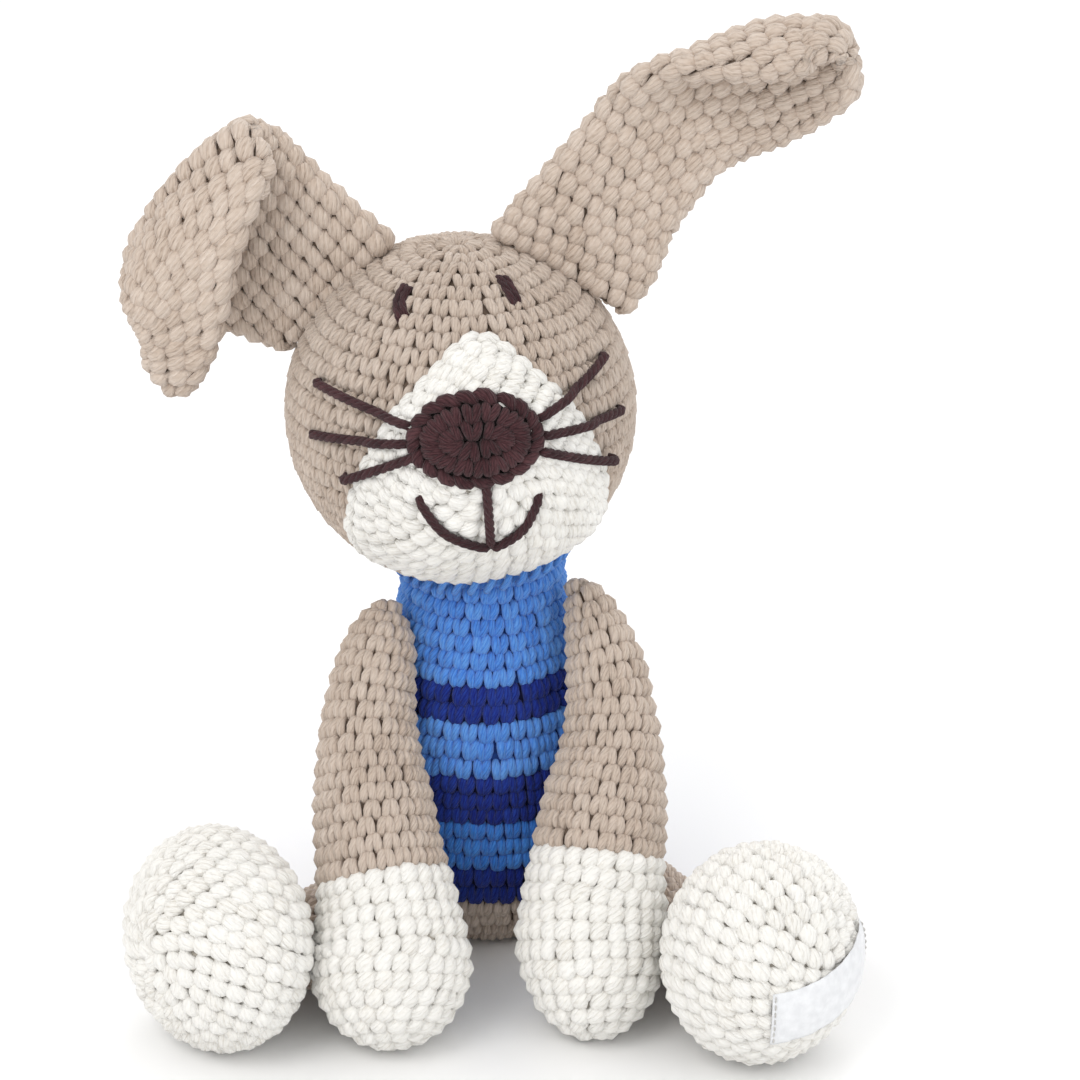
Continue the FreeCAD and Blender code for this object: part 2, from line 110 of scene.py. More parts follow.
# Spine: share of the way from pivot to hand, place across, radius.  The cap is the
# length of the round end of the hand; the cuff is where the white yarn begins.
ARMS = {
    "right": {
        "pivot": (-27.5, -19.0, 98.5), "hand": (-25.4, -75.0, 23.5), "cap": 24.0,
        "spine": [(-0.06, -27.8, 4.0), (-0.02, -28.6, 7.2), (0.06, -29.8, 9.8),
                  (0.21, -31.9, 11.9), (0.365, -32.3, 13.7), (0.515, -30.9, 15.9),
                  (0.66, -29.3, 17.0), (0.81, -27.0, 18.6), (0.96, -25.4, 21.2)],
        "cuff": 0.75,
    },
    "left": {
        "pivot": (27.4, -17.0, 106.4), "hand": (31.0, -67.0, 27.3), "cap": 29.0,
        "spine": [(-0.05, 27.2, 3.0), (-0.015, 29.2, 5.2), (0.05, 31.6, 7.4),
                  (0.167, 34.7, 10.2), (0.315, 36.6, 11.8), (0.465, 36.6, 14.1),
                  (0.612, 34.8, 16.9), (0.763, 33.0, 17.8), (0.913, 31.7, 19.8)],
        "cuff": 0.76,
    },
}

# Feet: radius of the sole, half the length, and the way the sole faces.
LEGS = {
    "right": {"side": -1, "hip": (-35.4, -31.8, 13.2), "foot": (-73.5, -75.0, 30.6),
              "across": 30.6, "half_length": 22.0, "azimuth": 50.0, "tilt": 11.0},
    "left": {"side": 1, "hip": (43.0, -20.4, 13.2), "foot": (78.0, -82.0, 30.2),
             "across": 29.5, "half_length": 25.0, "azimuth": 50.0, "tilt": 10.0},
}

# Sections of the ears from the head out: lower edge, direction across, width,
# thickness, and the roll of the upper edge towards the face.  Bows is how far
# each section swells along bow.
EARS = {
    "right": {
        "fold": 4, "bend": ((-80.0, -4.0, 223.0), (-80.0, -9.0, 223.0)),
        "bow": (-0.787, 0, 0.617), "bows": [0, 0, 0, 1.5, 4.5, 5.0, 3.5, 2.0, 1.0, 0, 0, 0],
        "end": 4.5, "rows": [
            ((-54.8, 1.0, 177.6), (0.70, 0, 0.714), 44.5, EAR_ROOT_T, 0),
            ((-64.8, 2.0, 181.4), (0.60, 0, 0.80), 48.7, EAR_T, 0),
            ((-76.7, 3.0, 185.0), (0.548, 0, 0.836), 55.0, EAR_T, 0),
            ((-88.0, 2.0, 191.2), (0.556, 0, 0.831), 59.0, EAR_T, 0),
            ((-96.8, -2.5, 202.2), (0.617, 0, 0.787), 54.5, EAR_T, 0),
            ((-98.0, -10.0, 201.4), (0.739, 0, 0.674), 54.0, EAR_T, 0),
            ((-97.8, -14.6, 197.6), (0.764, 0, 0.645), 50.0, EAR_T, 0),
            ((-96.2, -16.2, 194.0), (0.793, 0, 0.609), 41.0, EAR_T, 0),
            ((-94.3, -16.4, 189.8), (0.838, 0, 0.545), 32.0, EAR_T, 0),
            ((-92.7, -15.8, 184.6), (0.944, 0, 0.329), 23.0, EAR_T, 0),
            ((-92.1, -15.0, 178.0), (0.992, 0, 0.125), 17.0, EAR_T, 0),
            ((-88.6, -14.2, 174.2), (0.998, 0, 0.056), 9.5, 6.0, 0),
        ],
    },
    "left": {
        "fold": 3, "bow": (0, 0, 0), "bows": [0] * 11, "end": 1.6, "rows": [
            ((40.9, 0.0, 188.5), (-0.847, 0, 0.531), 44.9, EAR_ROOT_T, 0),
            ((48.1, 1.0, 199.7), (-0.846, 0, 0.533), 43.2, EAR_T, 0),
            ((52.1, 1.5, 210.6), (-0.773, 0, 0.634), 38.6, EAR_T, 0),
            ((58.0, 1.5, 220.5), (-0.657, 0, 0.754), 37.8, EAR_T, 0),
            ((65.7, 1.5, 230.3), (-0.613, 0, 0.79), 40.0, EAR_T, 45),
            ((73.4, 2.5, 234.2), (-0.511, 0, 0.86), 45.5, EAR_T, 90),
            ((83.2, 3.0, 238.0), (-0.403, 0, 0.915), 51.0, EAR_T, 135),
            ((91.0, 2.5, 241.7), (-0.300, 0, 0.954), 49.0, EAR_T, 150),
            ((97.0, 1.3, 246.2), (-0.250, 0, 0.968), 41.0, EAR_T, 150),
            ((100.6, -0.8, 249.8), (-0.220, 0, 0.975), 35.0, EAR_T, 140),
            ((102.4, -2.5, 253.4), (-0.205, 0, 0.979), 24.0, 6.0, 120),
        ],
    },
}

MUZZLE_OUTLINE = [
    (0.0, 35.5), (17.0, 23.5), (26.5, 12.0), (33.5, -3.0), (35.8, -14.0),
    (35.4, -25.0), (30.0, -35.5), (17.5, -44.0), (0.0, -47.2),
]
# Embroidery: (azimuth, elevation) on the head, and for a whisker the fractions
# of its length between which it comes down off the muzzle.
WHISKERS = {
    "whisker_right_upper": ((0.15, 0.32), [(-13.6, 15.4), (-36.0, 19.5), (-57.3, 20.9)]),
    "whisker_right_middle": ((0.26, 0.44), [(-13.8, 10.4), (-34.5, 7.8), (-54.6, 4.5)]),
    "whisker_right_lower": ((0.79, 1.0), [(-11.8, 6.8), (-26.0, 0.2), (-38.6, -6.0)]),
    "whisker_left_upper": ((0.27, 0.44), [(25.8, 16.2), (46.5, 23.0), (65.9, 27.7)]),
    "whisker_left_middle": ((0.42, 0.60), [(26.0, 11.1), (46.8, 10.4), (66.6, 8.6)]),
    "whisker_left_lower": ((0.83, 1.0), [(24.8, 7.0), (42.0, 0.6), (57.6, -4.8)]),
}
MOUTH = {
    "mouth_stem": [(8.6, -1.0), (9.6, -12.5), (10.8, -24.5)],
    "mouth_right": [(-11.4, -6.0), (-3.6, -18.4), (10.9, -25.2)],
    "mouth_left": [(25.2, -6.4), (20.6, -18.6), (10.7, -25.4)],
}
EYES = {
    "eye_right": [(-34.6, 62.1), (-33.0, 54.9), (-27.1, 49.0)],
    "eye_left": [(35.1, 66.4), (34.0, 59.9), (33.0, 53.2)],
}

# Stitch shapes: each loop is a line of (across in stitches, along in rows,
# outwards in mm, radius in mm).  A v or a stitch is that loop and its mirror image.
V_STITCH = [(0.06, -0.56, -2.3, 0.8), (0.13, -0.43, -0.85, 1.25), (0.20, -0.14, 0.02, 1.42),
            (0.25, 0.14, 0.02, 1.42), (0.27, 0.38, -0.85, 1.2), (0.26, 0.54, -2.4, 0.75)]
A_STITCH = [(0.36, -0.55, -2.4, 0.8), (0.33, -0.41, -0.95, 1.2), (0.27, -0.14, -0.05, 1.38),
            (0.21, 0.14, -0.02, 1.40), (0.16, 0.38, -0.75, 1.2), (0.13, 0.54, -2.2, 0.8)]
# A lobe is one fat loop, with a thin one that crosses beside it.
LOBE_STITCH = [(-0.03, -0.60, -2.5, 0.9), (0.00, -0.43, -0.95, 1.35), (0.03, -0.14, 0.08, 1.58),
               (0.05, 0.14, 0.08, 1.58), (0.06, 0.40, -0.95, 1.35), (0.05, 0.56, -2.5, 0.8)]
SIDE_STRAND = [(-0.54, -0.40, -1.3, 0.7), (-0.43, -0.22, -0.35, 0.95),
               (-0.34, -0.02, -0.45, 0.95), (-0.27, 0.16, -1.7, 0.6)]
# The edge of a patch: loops that lie along it like a chain.
CHAIN_STITCH = [(-0.62, -0.30, -1.7, 0.8), (-0.40, -0.20, -0.2, 1.25), (-0.05, 0.0, 0.25, 1.45),
                (0.30, 0.12, 0.0, 1.3), (0.58, 0.16, -1.5, 0.8)]
STITCHES = {
    # loops of one stitch: line, mirrored too, width over height
    "v": [(V_STITCH, True, 1.0)],
    "a": [(A_STITCH, True, 1.0)],
    "lobe": [(LOBE_STITCH, False, 1.68), (SIDE_STRAND, False, 1.0)],
    "chain": [(CHAIN_STITCH, False, 1.25)],
}


# ------------------------------------------------------------------- helpers
def unit(v):
    v = np.asarray(v, float)
    return v / np.maximum(np.linalg.norm(v, axis=-1, keepdims=True), 1e-12)


def direction(azimuth, elevation):
    """Unit vector; azimuth from straight ahead towards the rabbit's left."""
    a, e = math.radians(azimuth), math.radians(elevation)
    return np.array([math.sin(a) * math.cos(e), -math.cos(a) * math.cos(e), math.sin(e)])


def refine(rows, parts):
    """Smooth values between rows of numbers: Catmull-Rom, parts per interval."""
    rows = np.asarray(rows, float)
    last = len(rows) - 1
    fine = []
    for i in range(last):
        a, b, c, d = rows[max(i - 1, 0)], rows[i], rows[i + 1], rows[min(i + 2, last)]
        for k in range(parts):
            t = k / parts
            fine.append(0.5 * (2 * b + (c - a) * t + (2 * a - 5 * b + 4 * c - d) * t * t
                               + (3 * b - a - 3 * c + d) * t ** 3))
    fine.append(rows[last])
    return np.array(fine)


def even(points, count):
    """The same open line with its points spread evenly along it."""
    steps = np.linalg.norm(np.diff(points, axis=0), axis=1)
    place = np.concatenate([[0], np.cumsum(steps)])
    at = np.linspace(0, place[-1], count)
    return np.stack([np.interp(at, place, points[:, k]) for k in range(points.shape[1])], 1)


class Skin:
    """Grid of points over a tube-like skin: rows along it, columns round it."""

    def __init__(self, points):
        steps = np.linalg.norm(np.diff(points, axis=0), axis=2).mean(axis=1)
        place = np.concatenate([[0], np.cumsum(steps)])
        self.length = place[-1]
        count = max(int(self.length * 2.5), 8)
        at = np.linspace(0, self.length, count)
        index = np.interp(at, place, np.arange(len(place)))
        low = np.minimum(index.astype(int), len(place) - 2)
        part = (index - low)[:, None, None]
        self.points = points[low] * (1 - part) + points[low + 1] * part
        self.count = count
        along = np.gradient(self.points, axis=0)
        ahead = np.roll(self.points, -1, axis=1)
        behind = np.roll(self.points, 1, axis=1)
        normal = np.cross(ahead - behind, along)
        middle = self.points.mean(axis=1, keepdims=True)
        if (normal * (self.points - middle)).sum() < 0:
            normal = -normal
        size = np.linalg.norm(normal, axis=2, keepdims=True)
        poor = size[..., 0] < 1e-9
        normal = normal / np.maximum(size, 1e-12)
        for row in range(count):
            if poor[row].any():
                near = min(max(row, 3), count - 4)
                normal[row] = normal[near].mean(axis=0)
        self.normals = normal
        self.around = np.linalg.norm(ahead - self.points, axis=2).sum(axis=1)

    def at(self, s, turn):
        """Points and normals at distances s along and turns (0 to 1) around."""
        k = np.clip(s / self.length * (self.count - 1), 0, self.count - 1.0001)
        m = np.mod(turn, 1.0) * ACROSS
        k0, m0 = k.astype(int), np.floor(m).astype(int) % ACROSS
        m1 = (m0 + 1) % ACROSS
        up, on = (k - k0)[..., None], (m - np.floor(m))[..., None]
        out = []
        for grid in (self.points, self.normals):
            low = grid[k0, m0] * (1 - on) + grid[k0, m1] * on
            high = grid[k0 + 1, m0] * (1 - on) + grid[k0 + 1, m1] * on
            out.append(low * (1 - up) + high * up)
        return out[0], unit(out[1])

    def round_at(self, s):
        """Length once round the skin at a distance along it."""
        return float(np.interp(s / self.length * (self.count - 1), np.arange(self.count), self.around))


def turns():
    """The angle of each column of a surface grid."""
    return np.arange(ACROSS) * 2 * math.pi / ACROSS


def tube_skin(points, radii, across):
    """Round sections along a line of points."""
    points, radii = np.asarray(points, float), np.asarray(radii, float)
    run = unit(np.gradient(points, axis=0))
    side = unit(np.asarray(across, float) - run * (run @ np.asarray(across, float))[:, None])
    other = np.cross(run, side)
    t = turns()
    rings = side[:, None] * np.cos(t)[None, :, None] + other[:, None] * np.sin(t)[None, :, None]
    return Skin(points[:, None] + rings * radii[:, None, None])


# ------------------------------------------------------------- mesh building
class Fabric:
    """Gathers strands and sheets of one piece, then makes its mesh."""

    def __init__(self):
        self.points, self.loops, self.sizes = [], [], []
        self.uvs, self.tints, self.slots = [], [], []
        self.total = 0

    def add(self, points, faces, uvs, tints, slot):
        """faces: rows of vertex numbers; uvs: one pair for each of their corners."""
        self.points.append(points.reshape(-1, 3))
        self.loops.append((faces + self.total).reshape(-1))
        self.sizes.append(np.full(len(faces), faces.shape[1]))
        self.uvs.append(uvs.reshape(-1, 2))
        self.tints.append(tints.reshape(-1))
        self.slots.append(np.full(len(faces), slot))
        self.total += len(points.reshape(-1, 3))

    def strands(self, centres, normals, radii, tint, slot=0, sides=8, wide=1.0):
        """Round strands along centres [strand, stop, xyz]."""
        many, stops = centres.shape[:2]
        run = unit(np.gradient(centres, axis=1))
        side = unit(np.cross(run, normals))
        up = np.cross(side, run)
        t = np.arange(sides) * 2 * math.pi / sides
        ring = side[:, :, None] * (np.cos(t) * wide)[None, None, :, None]
        ring = ring + up[:, :, None] * np.sin(t)[None, None, :, None]
        points = centres[:, :, None] + ring * np.broadcast_to(radii, (many, stops))[:, :, None, None]
        i, j = np.meshgrid(np.arange(stops - 1), np.arange(sides), indexing="ij")
        k = (j + 1) % sides
        quad = np.stack([i * sides + j, i * sides + k, (i + 1) * sides + k, (i + 1) * sides + j], -1)
        quad = quad.reshape(-1, 4)
        step = np.linalg.norm(np.diff(centres, axis=1), axis=2).mean(axis=0)
        place = np.concatenate([[0], np.cumsum(step)])
        u0, u1 = place[i].ravel(), place[i + 1].ravel()
        v0, v1 = (j / sides).ravel(), ((j + 1) / sides).ravel()
        uv = np.stack([np.stack([u0, v0], -1), np.stack([u0, v1], -1),
                       np.stack([u1, v1], -1), np.stack([u1, v0], -1)], 1)
        base = np.arange(many) * stops * sides
        faces = (quad[None] + base[:, None, None]).reshape(-1, 4)
        shade = np.repeat(tint, stops * sides)
        offset = rng.uniform(0, 9, many)
        uvs = np.broadcast_to(uv[None], (many,) + uv.shape).copy()
        uvs[..., 0] += offset[:, None, None]
        self.add(points, faces, uvs, shade, slot)
        caps = np.stack([np.arange(sides)[::-1], (stops - 1) * sides + np.arange(sides)])
        caps = (caps[None] + base[:, None, None]).reshape(-1, sides) + self.total - many * stops * sides
        self.loops.append(caps.reshape(-1))
        self.sizes.append(np.full(len(caps), sides))
        self.uvs.append(np.zeros((caps.size, 2)))
        self.slots.append(np.full(len(caps), slot))

    def backing(self, skin, low, high, depth, slot, columns=60):
        """Closed under-layer that follows the skin between two distances along it."""
        count = max(int((high - low) / 2.2), 3)
        s = np.linspace(low, high, count)[:, None] * np.ones((1, columns))
        t = np.broadcast_to(np.arange(columns) / columns, s.shape)
        at, normal = skin.at(s, t)
        points = (at - normal * depth).reshape(-1, 3)
        i, j = np.meshgrid(np.arange(count - 1), np.arange(columns), indexing="ij")
        k = (j + 1) % columns
        faces = np.stack([i * columns + j, i * columns + k,
                          (i + 1) * columns + k, (i + 1) * columns + j], -1).reshape(-1, 4)
        uvs = np.stack([s, t * 40], -1).reshape(-1, 2)[faces]
        self.add(points, faces, uvs, np.full(len(points), 0.5), slot)

    def make(self, name, materials):
        points = np.concatenate(self.points) + SHIFT
        points[:, 2] = np.maximum(points[:, 2], FLOOR_GAP)
        loops, sizes = np.concatenate(self.loops), np.concatenate(self.sizes)
        mesh = bpy.data.meshes.new(name)
        mesh.vertices.add(len(points))
        mesh.vertices.foreach_set("co", (points * 0.001).astype(np.float32).ravel())
        mesh.loops.add(len(loops))
        mesh.loops.foreach_set("vertex_index", loops.astype(np.int32))
        mesh.polygons.add(len(sizes))
        starts = np.concatenate([[0], np.cumsum(sizes)[:-1]])
        mesh.polygons.foreach_set("loop_start", starts.astype(np.int32))
        mesh.polygons.foreach_set("loop_total", sizes.astype(np.int32))
        mesh.polygons.foreach_set("material_index", np.concatenate(self.slots).astype(np.int32))
        mesh.polygons.foreach_set("use_smooth", np.ones(len(sizes), bool))
        mesh.update(calc_edges=True)
        layer = mesh.uv_layers.new(name="yarn")
        layer.data.foreach_set("uv", np.concatenate(self.uvs).astype(np.float32).ravel())
        tint = mesh.attributes.new("tint", "FLOAT", "POINT")
        tint.data.foreach_set("value", np.concatenate(self.tints).astype(np.float32))
        mesh.validate()
        for material in materials:
            mesh.materials.append(material)
        piece = bpy.data.objects.new(name, mesh)
        bpy.context.scene.collection.objects.link(piece)
        return piece


def rounds(skin, low, high, row=ROW):
    """Middle and height of each round between two distances along the skin."""
    count = max(int(round((high - low) / row)), 1)
    height = (high - low) / count
    return [(low + (i + 0.5) * height, height) for i in range(count)]


def crochet(fabric, skin, rows, kind, keep=None, lean=0.0, start=0.0, stops=9,
            pitch=PITCH, size=1.0, sides=9, wobble=0.05):
    """Rounds of stitches; returns the turn at which the last round ended.

    keep picks the stitches that show; lean slants them; stops and sides say how
    finely each loop is made.
    """
    loops = []
    for line, mirrored, wide in STITCHES[kind]:
        line = even(refine(line, 6), stops)
        loops.append((1.0, line, wide))
        if mirrored:
            loops.append((-1.0, line, wide))
    turn = start
    for s, height in rows:
        count = max(int(round(skin.round_at(s) / pitch)), 4)
        width = skin.round_at(s) / count
        turn += 0.45 / count
        middle = turn + np.arange(count) / count
        if keep is not None:
            middle = middle[keep(skin.at(np.full(count, s), middle)[0])]
        many = len(middle)
        if many == 0:
            continue
        scale = min(width / pitch, 1.15) * size
        jitter = rng.normal(0, wobble, (many, 2))
        shade = rng.uniform(0, 1, many)
        for mirror, line, wide in loops:
            swell = 1 + rng.normal(0, 0.05, many)[:, None]
            aside = mirror * line[:, 0] + lean * line[:, 1]
            t = middle[:, None] + (aside[None] + jitter[:, :1]) / count
            along = s + (line[:, 1][None] + jitter[:, 1:]) * height
            at, normal = skin.at(along, t)
            out = line[:, 2][None] + rng.normal(0, 0.08, many)[:, None]
            centres = at + normal * (out * scale)[..., None]
            fabric.strands(centres, normal, line[:, 3][None] * scale * swell, shade, 0, sides, wide)
    return turn


# ----------------------------------------------------------------- materials
def new_material(name):
    material = bpy.data.materials.new(name)
    material.use_nodes = True
    tree = material.node_tree
    return material, tree, tree.nodes["Principled BSDF"]


def math_node(tree, kind, a, b=None):
    node = tree.nodes.new("ShaderNodeMath")
    node.operation = kind
    for socket, value in zip(node.inputs, (a, b)):
        if value is None:
            continue
        if isinstance(value, (int, float)):
            socket.default_value = value
        else:
            tree.links.new(value, socket)
    return node.outputs[0]


def noise_of(tree, place, scale, roughness=0.5):
    node = tree.nodes.new("ShaderNodeTexNoise")
    node.inputs["Scale"].default_value = scale
    node.inputs["Detail"].default_value = 2.0
    node.inputs["Roughness"].default_value = roughness
    if place is not None:
        tree.links.new(place, node.inputs["Vector"])
    return node.outputs["Fac"]


def colour_ramp(tree, amount, socket, *stops):
    """Colours between (position, colour) stops, from the amount to a socket."""
    node = tree.nodes.new("ShaderNodeValToRGB")
    elements = node.color_ramp.elements
    for element, (position, colour) in zip(elements, (stops[0], stops[-1])):
        element.position, element.color = position, (*colour, 1)
    for position, colour in stops[1:-1]:
        elements.new(position).color = (*colour, 1)
    tree.links.new(amount, node.inputs["Fac"])
    tree.links.new(node.outputs["Color"], socket)


def bump_of(tree, shader, height, strength, distance):
    node = tree.nodes.new("ShaderNodeBump")
    node.inputs["Strength"].default_value = strength
    node.inputs["Distance"].default_value = distance
    tree.links.new(height, node.inputs["Height"])
    tree.links.new(node.outputs["Normal"], shader.inputs["Normal"])


def object_place(tree):
    return tree.nodes.new("ShaderNodeTexCoord").outputs["Object"]


def yarn_place(tree):
    """UV of the strands in mm, and its two parts: along and round the strand."""
    uv = tree.nodes.new("ShaderNodeUVMap")
    uv.uv_map = "yarn"
    split = tree.nodes.new("ShaderNodeSeparateXYZ")
    tree.links.new(uv.outputs["UV"], split.inputs[0])
    return uv.outputs["UV"], split.outputs[0], split.outputs[1]


def yarn(name, colour, shadow, light, sheen=0.3, plies=9.0, twist=0.5):
    """Plied cotton: strands that twist along each loop, fine fibres, soft sheen; its colour has painted
    shade in the ply grooves and painted highlights.
    """
    material, tree, shader = new_material(name)
    _, along, around = yarn_place(tree)
    turn = math_node(tree, "ADD", around, math_node(tree, "MULTIPLY", along, twist / plies))
    wave = math_node(tree, "SINE", math_node(tree, "MULTIPLY", turn, 2 * math.pi * plies))
    ply = math_node(tree, "ADD", math_node(tree, "MULTIPLY", wave, 0.5), 0.5)
    ply = math_node(tree, "POWER", ply, 0.6)

    fine = tree.nodes.new("ShaderNodeCombineXYZ")
    tree.links.new(math_node(tree, "MULTIPLY", along, 0.55), fine.inputs[0])
    tree.links.new(math_node(tree, "MULTIPLY", turn, 26.0), fine.inputs[1])
    fibre = noise_of(tree, fine.outputs[0], 1.0, 0.6)
    cloud = noise_of(tree, object_place(tree), 60.0)
    attribute = tree.nodes.new("ShaderNodeAttribute")
    attribute.attribute_name = "tint"

    height = math_node(tree, "ADD", math_node(tree, "MULTIPLY", ply, 0.22),
                       math_node(tree, "MULTIPLY", fibre, 1.5))
    bump_of(tree, shader, height, 0.85, 0.0005)

    # Colour: the ply grooves pull it towards the painted shade stop and high values reach the painted
    # highlight stop; fibre, cloud and tint add random tone.
    mix = math_node(tree, "ADD", math_node(tree, "MULTIPLY", ply, 0.12),
                    math_node(tree, "MULTIPLY", fibre, 0.95))
    mix = math_node(tree, "SUBTRACT", mix, 0.06)
    mix = math_node(tree, "ADD", mix, math_node(tree, "MULTIPLY", cloud, 0.25))
    mix = math_node(tree, "ADD", mix, math_node(tree, "MULTIPLY", attribute.outputs["Fac"], 0.16))
    colour_ramp(tree, mix, shader.inputs["Base Color"], (0.30, shadow), (0.60, colour), (0.95, light))
    rough = math_node(tree, "ADD", math_node(tree, "MULTIPLY", fibre, 0.15), 0.78)
    tree.links.new(rough, shader.inputs["Roughness"])
    shader.inputs["Specular IOR Level"].default_value = 0.18
    shader.inputs["Sheen Weight"].default_value = sheen
    shader.inputs["Sheen Roughness"].default_value = 0.5
    return material


def painted_shade_layer(name, colour):
    """The inner layer that shows between the loops, its colour darkened as painted shade."""
    material, tree, shader = new_material(name)
    noise = noise_of(tree, object_place(tree), 700.0)
    colour_ramp(tree, noise, shader.inputs["Base Color"], (0.3, [c * 0.6 for c in colour]), (0.7, colour))
    bump_of(tree, shader, noise, 0.6, 0.0005)
    shader.inputs["Roughness"].default_value = 0.95
    return material


COLOURS = {
    # colour, painted shade in the grooves, painted highlight (linear)
    "yarn_beige": ((0.56, 0.455, 0.375), (0.30, 0.215, 0.16), (0.69, 0.59, 0.51)),
    "yarn_white": ((0.87, 0.85, 0.805), (0.62, 0.58, 0.51), (0.93, 0.92, 0.89)),
    "yarn_sky": ((0.06, 0.23, 0.72), (0.02, 0.10, 0.45), (0.16, 0.40, 0.86)),
    "yarn_blue": ((0.025, 0.17, 0.62), (0.008, 0.07, 0.36), (0.08, 0.30, 0.78)),
    "yarn_navy": ((0.004, 0.016, 0.20), (0.001, 0.004, 0.09), (0.02, 0.06, 0.36)),
    "yarn_brown": ((0.040, 0.012, 0.015), (0.010, 0.003, 0.004), (0.105, 0.043, 0.048)),
}
YARN = {key: yarn(key, *value, sheen=0.12 if key in ("yarn_navy", "yarn_brown") else 0.25)
        for key, value in COLOURS.items()}
# Inner layers: the yarn's groove colour darkened further, painted shade between the loops; the white one
# a darker grey, also painted shade.
PAINTED_SHADE = {key: painted_shade_layer(key + "_painted_shade", [c * 0.55 for c in groove_shade])
         for key, (_, groove_shade, _) in COLOURS.items()}
PAINTED_SHADE["yarn_white"] = painted_shade_layer("yarn_white_painted_shade", (0.52, 0.48, 0.42))


def finish_piece(fabric, name, body, slot, nodes, materials=None):
    """Makes the piece, and says what it rides on, stands for and is filled with."""
    piece = fabric.make(name, materials or [YARN[slot], PAINTED_SHADE[slot]])
    if body is not None:
        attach(piece, body)
    if nodes:
        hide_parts(*nodes)
    return piece


# --------------------------------------------------------------------- torso
profile = refine([(0.5, 0.0), (11.0, 0.0)] + TORSO_PROFILE, 12)
ring = turns()
torso = Skin(np.stack([profile[:, :1] * np.cos(ring)[None], profile[:, :1] * np.sin(ring)[None],
                       profile[:, 1:2] * np.ones_like(ring)[None]], -1))
torso_height = torso.points[:, :, 2].mean(axis=1)


def torso_distance(z):
    """Distance along the torso's skin at which it reaches a height."""
    order = np.arange(torso.count) / (torso.count - 1) * torso.length
    if z <= 0.01:
        return 0.0
    return float(np.interp(z, torso_height[torso_height > 0.001], order[torso_height > 0.001]))


def clear_of_head(points):
    """Stitches of the collar that the head does not cover."""
    return np.linalg.norm(points - HEAD_C, axis=1) > HEAD_R - 1.0


turn = 0.0
for name, low, high, slot in TORSO_BANDS:
    fabric = Fabric()
    s0, s1 = torso_distance(low), torso_distance(high)
    turn = crochet(fabric, torso, rounds(torso, max(s0, 2.0), s1), "v", start=turn,
                   keep=clear_of_head, lean=0.06)
    fabric.backing(torso, s0, s1, UNDER_DEPTH, 1)
    inner = ["torso_stuffing"] if name == "torso_base" else []
    finish_piece(fabric, name + "_crochet", "torso", slot, [name] + inner)

tail_at = np.array([0, TAIL_OUT, TAIL_UP])
angle = np.linspace(0.03, math.pi * 0.86, 40)
tail = tube_skin(tail_at + np.outer(np.cos(angle), [0, 1, 0]) * TAIL_R, np.sin(angle) * TAIL_R, (1, 0, 0))
fabric = Fabric()
crochet(fabric, tail, rounds(tail, 1.0, tail.length, 4.6), "lobe", pitch=4.6, size=0.92)
fabric.backing(tail, 0, tail.length, UNDER_DEPTH, 1)
finish_piece(fabric, "tail_crochet", "torso", "yarn_white", ["tail_fabric", "tail_stuffing"])


# ---------------------------------------------------------------------- head
def sideways(axis):
    """Level direction across an axis, towards the rabbit's left."""
    side = unit(np.cross((0, 0, 1), axis))
    return side if side[0] > 0 else -side


angle = np.linspace(0.012, math.pi - 0.3, 160)
head = tube_skin(HEAD_C + np.outer(np.cos(angle), [0, 0, 1]) * HEAD_R, np.sin(angle) * HEAD_R, (0, 1, 0))
face = direction(FACE_AZ, 0)
face_side = sideways(face)
outline = np.array(MUZZLE_OUTLINE + [(-x, z) for x, z in reversed(MUZZLE_OUTLINE[1:-1])])
closed = refine(np.concatenate([outline[-2:], outline, outline[:3]]), 20)
closed = even(closed[2 * 20:(2 + len(outline)) * 20 + 1], ACROSS + 1)[:-1]


def inside_muzzle(points, scale):
    """Which points of the head lie within the muzzle's outline."""
    rel = points - HEAD_C
    x, z, front = rel @ face_side, rel[:, 2], rel @ face > 0
    edge = np.hypot(closed[:, 0], closed[:, 1])
    bearing = np.arctan2(closed[:, 1], closed[:, 0])
    order = np.argsort(bearing)
    limit = np.interp(np.arctan2(z, x), bearing[order], edge[order], period=2 * math.pi)
    return front & (np.hypot(x, z) < limit * scale)


def head_shown(points):
    """Stitches of the head that the muzzle does not cover."""
    return ~inside_muzzle(points, 0.93)


fabric = Fabric()
crochet(fabric, head, rounds(head, 1.5, head.length), "a", keep=head_shown, lean=-0.05, stops=6, sides=8)
fabric.backing(head, 0, head.length, 1.15, 1, columns=90)
finish_piece(fabric, "head_crochet", "head", "yarn_beige", ["head_fabric", "head_stuffing"])


def cap_skin(shape_at, radius_at, axis, side, up, count=60):
    """Skin over a patch of the head: outlines growing from its middle."""
    grid = []
    for f in np.linspace(0.02, 1.0, count):
        xz = shape_at(f)
        radius = radius_at(f, xz)
        deep = np.sqrt(np.maximum(radius ** 2 - (xz ** 2).sum(axis=1), 1.0))
        grid.append(HEAD_C + xz[:, :1] * side + xz[:, 1:] * up + deep[:, None] * axis)
    skin = Skin(np.array(grid))
    if ((skin.points - HEAD_C) * skin.normals).sum() < 0:
        skin.normals = -skin.normals
    return skin


def muzzle_radius(f, xz):
    thick = MUZZLE_T * math.sqrt(max(1 - max(0.0, (f - 0.90) / 0.10) ** 2.0, 0.0))
    chin = np.clip((-xz[:, 1] - CHIN_FROM) / CHIN_SPAN, 0, 1)
    return HEAD_R - 0.3 + thick * (1 - chin)


muzzle = cap_skin(lambda f: closed * f, muzzle_radius, face, face_side, np.array([0, 0, 1.0]))
nose_axis = direction(NOSE_AZ, NOSE_EL)
nose_side = sideways(nose_axis)
nose_up = unit(np.array([0, 0, 1.0]) - nose_axis * nose_axis[2])


def clear_of_nose(points):
    """Stitches of the muzzle that the nose does not cover."""
    rel = points - HEAD_C
    return np.hypot(rel @ nose_side / (NOSE_W / 2), rel @ nose_up / (NOSE_H / 2)) > 0.72


